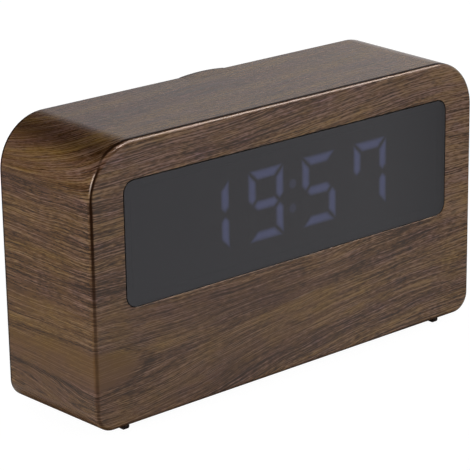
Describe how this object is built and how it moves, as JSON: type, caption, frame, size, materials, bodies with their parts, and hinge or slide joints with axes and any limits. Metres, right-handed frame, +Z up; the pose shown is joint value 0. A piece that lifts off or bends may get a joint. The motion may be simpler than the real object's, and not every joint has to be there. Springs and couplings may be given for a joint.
{
  "type": "digital desk clock",
  "caption": "Wood-look block clock with a smoked window of lit seven-segment digits, a snooze key on top, rear buttons and a battery bay, standing on thin runners.",
  "frame": {"origin": "on the table, under the middle of the case", "axes": "+X along the front to the viewer's right, +Y from the front face to the back, +Z up"},
  "size_m": [0.1606, 0.0446, 0.0924],
  "materials": {
    "wood_foil": "satin foil printed with dark walnut grain",
    "smoked_window": "polished smoked acrylic",
    "black_plastic": "fine spark-eroded texture",
    "mask_plastic": "flat black",
    "lit_guide": "milky, lit from behind in violet blue",
    "dark_guide": "milky, unlit",
    "dot_guide": "milky, dim",
    "lamp_resin": "clear resin over a pale base",
    "circuit_board": "green solder mask",
    "screw_steel": "bright zinc",
    "chip_resin": "moulded black",
    "can_metal": "bright drawn sheet",
    "ribbon_film": "white flat cable",
    "socket_plastic": "natural moulded",
    "button_plastic": "satin black",
    "plunger_plastic": "moulded tan",
    "cell_sleeve": "plain printed sleeve with bright ends",
    "contact_steel": "nickel plated",
    "lead_sleeve": "red wire sleeve",
    "foot_rubber": "dark brown matt"
  },
  "bodies": {
    "case": {"case_shell": "wood_foil", "display_lens": "smoked_window", "rear_cover": "black_plastic", "battery_tray": "black_plastic", "light_mask": "mask_plastic", "lit_segments": "lit_guide", "dark_segments": "dark_guide", "colon_dots": "dot_guide", "segment_lamps": "lamp_resin", "display_board": "circuit_board", "main_board": "circuit_board", "display_screws": "screw_steel", "main_board_screws": "screw_steel", "cover_screws": "screw_steel", "clock_chip": "chip_resin", "buzzer": "chip_resin", "push_switches": "chip_resin", "snooze_switch": "chip_resin", "inlet_tongue": "chip_resin", "capacitor": "can_metal", "slide_switch": "can_metal", "inlet_shell": "can_metal", "ribbon_cable": "ribbon_film", "ribbon_sockets": "socket_plastic", "battery_cells": "cell_sleeve", "spring_contacts": "contact_steel", "contact_plates": "contact_steel", "battery_leads": "lead_sleeve", "foot_left": "foot_rubber", "foot_right": "foot_rubber"},
    "mode_button": {"mode_button": "button_plastic", "mode_plunger": "plunger_plastic"},
    "up_button": {"up_button": "button_plastic", "up_plunger": "plunger_plastic"},
    "down_button": {"down_button": "button_plastic", "down_plunger": "plunger_plastic"},
    "alarm_button": {"alarm_button": "button_plastic", "alarm_plunger": "plunger_plastic"},
    "snooze_key": {"snooze_key": "wood_foil", "snooze_plunger": "plunger_plastic"},
    "slide_knob": {"slide_knob": "button_plastic"},
    "battery_door": {"battery_door": "black_plastic"}
  },
  "joints": [
    {"name": "mode_press", "type": "slide", "parent": "case", "child": "mode_button", "axis": [0, -1, 0], "range_m": [0, 0.0006], "stiffness_N_per_m": 1500},
    {"name": "up_press", "type": "slide", "parent": "case", "child": "up_button", "axis": [0, -1, 0], "range_m": [0, 0.0006], "stiffness_N_per_m": 1500},
    {"name": "down_press", "type": "slide", "parent": "case", "child": "down_button", "axis": [0, -1, 0], "range_m": [0, 0.0006], "stiffness_N_per_m": 1500},
    {"name": "alarm_press", "type": "slide", "parent": "case", "child": "alarm_button", "axis": [0, -1, 0], "range_m": [0, 0.0006], "stiffness_N_per_m": 1500},
    {"name": "snooze_press", "type": "slide", "parent": "case", "child": "snooze_key", "axis": [0, 0, -1], "range_m": [0, 0.0008], "stiffness_N_per_m": 1500},
    {"name": "slide_shift", "type": "slide", "parent": "case", "child": "slide_knob", "axis": [1, 0, 0], "range_m": [0, 0.004]},
    {"name": "door_tip", "type": "hinge", "parent": "case", "child": "battery_door", "pos_m": [0, 0.0211, 0.012], "axis": [-1, 0, 0], "range_deg": [0, 75]}
  ]
}
